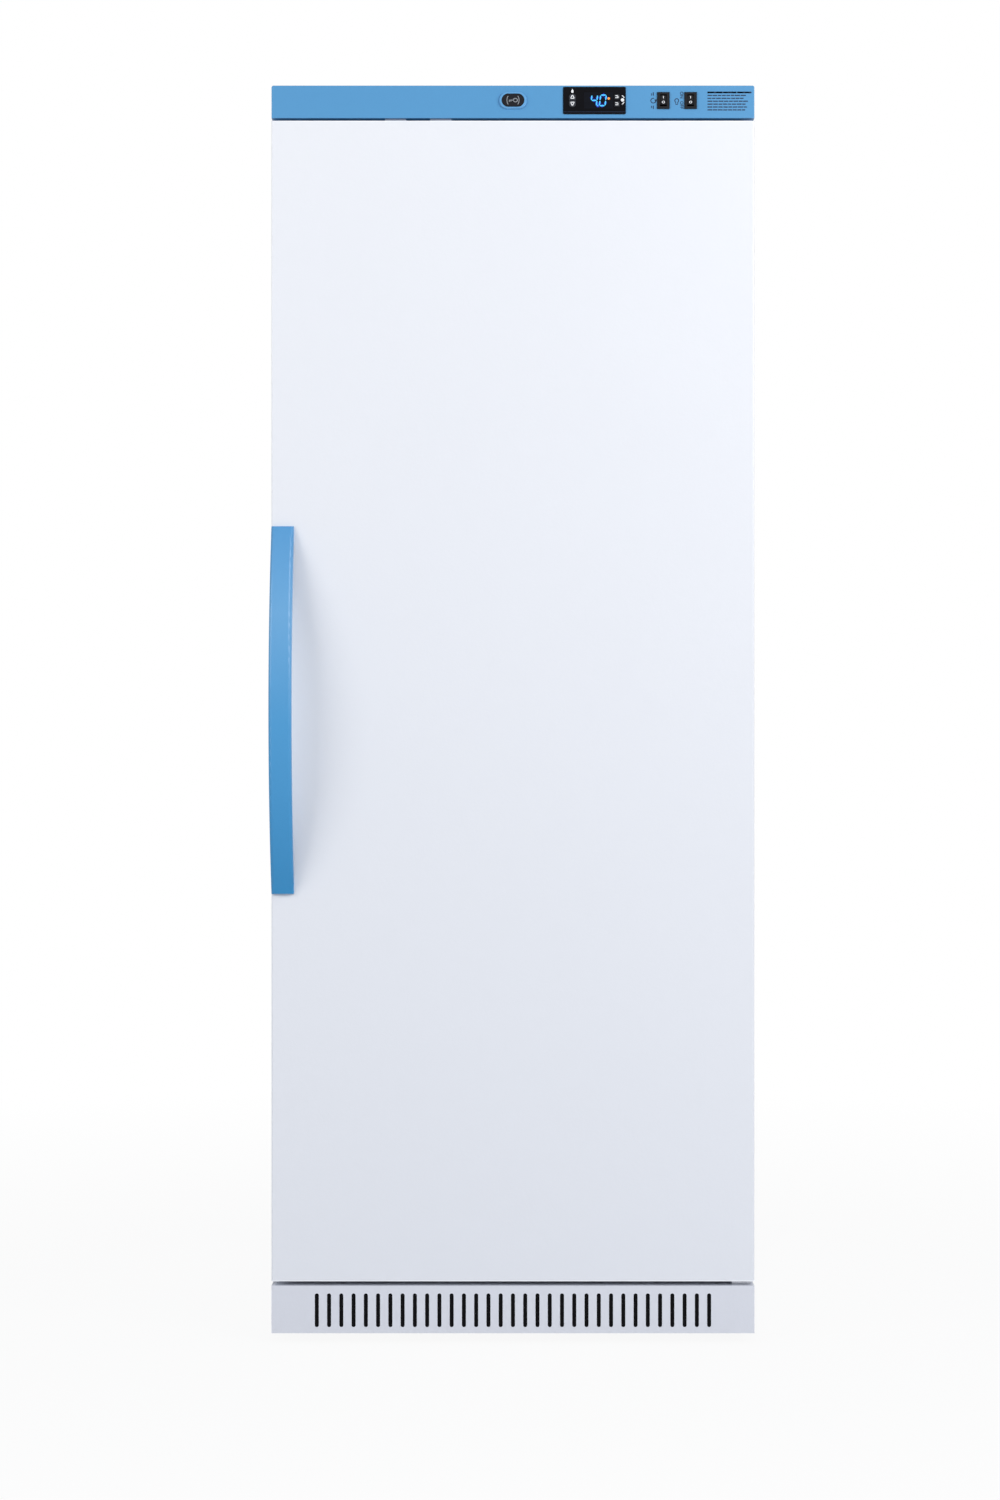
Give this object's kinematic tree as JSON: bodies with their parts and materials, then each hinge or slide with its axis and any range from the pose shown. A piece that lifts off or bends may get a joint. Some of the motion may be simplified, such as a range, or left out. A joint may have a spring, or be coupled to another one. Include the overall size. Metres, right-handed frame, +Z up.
{
  "type": "laboratory refrigerator",
  "caption": "Upright single-door laboratory refrigerator with control panel, lock, bow handle, slotted kick grille and refrigeration machinery.",
  "frame": {"origin": "centre of the object's footprint on the floor, under its feet", "axes": "+Z up, -Y out of the door's front, +X towards the hinge side"},
  "size_m": [0.6, 0.672, 1.562],
  "materials": {
    "white_paint": "smooth powder coat",
    "blue_paint": "satin powder coat",
    "blue_handle": "satin moulded",
    "zinc_steel": "zinc plated",
    "black_pot": "gloss black enamel",
    "liner_white": "thermoformed white",
    "foam": "rigid polyurethane foam",
    "black_plastic": "gloss black",
    "dark_plastic": "fine texture",
    "display": "smoked lens",
    "filter_foam": "open-cell black foam",
    "grey_rubber": "soft extruded",
    "roller_nylon": "hard wheel",
    "grey_plastic": "moulded",
    "white_plastic": "moulded",
    "wire_coat": "white coated wire",
    "fin_aluminium": "mill finish",
    "copper_tube": "drawn tube"
  },
  "bodies": {
    "cabinet": {"left_side_panel": "white_paint", "right_side_panel": "white_paint", "top_cover": "white_paint", "back_panel": "zinc_steel", "face_rails": "white_paint", "cabinet_foam": "foam", "inner_liner": "liner_white", "electronics_deck": "zinc_steel", "machine_room_baffle": "zinc_steel", "base_pan": "zinc_steel", "kick_grille": "white_paint", "air_filter": "filter_foam", "rear_machine_cover": "zinc_steel", "control_fascia": "blue_paint", "controller_case": "black_plastic", "display_lens": "display", "rocker_frames": "black_plastic", "lock_housing": "blue_handle", "reed_switches": "grey_plastic", "upper_hinge": "zinc_steel", "lower_hinge": "zinc_steel", "shelf_standards": "zinc_steel", "shelf_clips": "zinc_steel", "shelf_1": "wire_coat", "shelf_2": "wire_coat", "shelf_3": "wire_coat", "shelf_4": "wire_coat", "evaporator_cover": "liner_white", "evaporator_coil": "fin_aluminium", "evaporator_motor": "dark_plastic", "interior_lamp": "white_plastic", "port_sleeve": "grey_plastic", "compressor": "black_pot", "condenser_coil": "fin_aluminium", "condenser_shroud": "zinc_steel", "drip_tray": "dark_plastic", "refrigerant_lines": "copper_tube", "power_inlet": "black_plastic"},
    "door": {"door_skin": "white_paint", "door_foam": "foam", "door_inner_panel": "liner_white", "door_gasket": "grey_rubber", "door_top_cap": "white_plastic", "door_bottom_cap": "white_plastic", "door_handle": "blue_handle", "door_magnets": "grey_plastic"},
    "lock": {"lock_cylinder": "zinc_steel"},
    "lock_flap": {"lock_cover": "black_plastic"},
    "rocker_reset": {"reset_rocker": "black_plastic"},
    "rocker_lamp": {"lamp_rocker": "black_plastic"},
    "button_up": {"up_button": "grey_plastic"},
    "button_down": {"down_button": "grey_plastic"},
    "button_mute": {"mute_button": "grey_plastic"},
    "button_set": {"set_button": "grey_plastic"},
    "foot_left": {"left_foot": "dark_plastic"},
    "foot_right": {"right_foot": "dark_plastic"},
    "rollers": {"rear_rollers": "roller_nylon"},
    "fan_cold": {"evaporator_fan": "dark_plastic"},
    "fan_warm": {"condenser_fan": "dark_plastic"},
    "plug_port": {"port_plug": "grey_rubber"}
  },
  "joints": [
    {"name": "door_hinge", "type": "hinge", "parent": "cabinet", "child": "door", "pos_m": [0.288, -0.256, 0.79735], "axis": [0, 0, 1], "range_deg": [0, 120]},
    {"name": "lock_turn", "type": "hinge", "parent": "cabinet", "child": "lock", "pos_m": [0, -0.251, 1.5431], "axis": [0, 1, 0], "range_deg": [0, 90]},
    {"name": "lock_cover_hinge", "type": "hinge", "parent": "cabinet", "child": "lock_flap", "pos_m": [0, -0.287, 1.5504], "axis": [-1, 0, 0], "range_deg": [0, 110]},
    {"name": "reset_rocker_tilt", "type": "hinge", "parent": "cabinet", "child": "rocker_reset", "pos_m": [0.1868, -0.2825, 1.5431], "axis": [1, 0, 0], "range_deg": [0, 20]},
    {"name": "lamp_rocker_tilt", "type": "hinge", "parent": "cabinet", "child": "rocker_lamp", "pos_m": [0.2206, -0.2825, 1.5431], "axis": [1, 0, 0], "range_deg": [0, 20]},
    {"name": "up_button_press", "type": "slide", "parent": "cabinet", "child": "button_up", "axis": [0, 1, 0], "range_m": [0, 0.0005], "stiffness_N_per_m": 300},
    {"name": "down_button_press", "type": "slide", "parent": "cabinet", "child": "button_down", "axis": [0, 1, 0], "range_m": [0, 0.0005], "stiffness_N_per_m": 300},
    {"name": "mute_button_press", "type": "slide", "parent": "cabinet", "child": "button_mute", "axis": [0, 1, 0], "range_m": [0, 0.0005], "stiffness_N_per_m": 300},
    {"name": "set_button_press", "type": "slide", "parent": "cabinet", "child": "button_set", "axis": [0, 1, 0], "range_m": [0, 0.0005], "stiffness_N_per_m": 300},
    {"name": "left_foot_extend", "type": "slide", "parent": "cabinet", "child": "foot_left", "axis": [0, 0, -1], "range_m": [0, 0.015]},
    {"name": "right_foot_extend", "type": "slide", "parent": "cabinet", "child": "foot_right", "axis": [0, 0, -1], "range_m": [0, 0.015]},
    {"name": "rear_roller_spin", "type": "hinge", "parent": "cabinet", "child": "rollers", "pos_m": [0, 0.291, 0.02], "axis": [1, 0, 0], "continuous": true},
    {"name": "evaporator_fan_spin", "type": "hinge", "parent": "cabinet", "child": "fan_cold", "pos_m": [0, 0.217, 1.3532], "axis": [0, 1, 0], "continuous": true},
    {"name": "condenser_fan_spin", "type": "hinge", "parent": "cabinet", "child": "fan_warm", "pos_m": [-0.177, 0.2102, 0.0945], "axis": [1, 0, 0], "continuous": true},
    {"name": "port_plug_pull", "type": "slide", "parent": "cabinet", "child": "plug_port", "axis": [0, -1, 0], "range_m": [0, 0.06]}
  ]
}
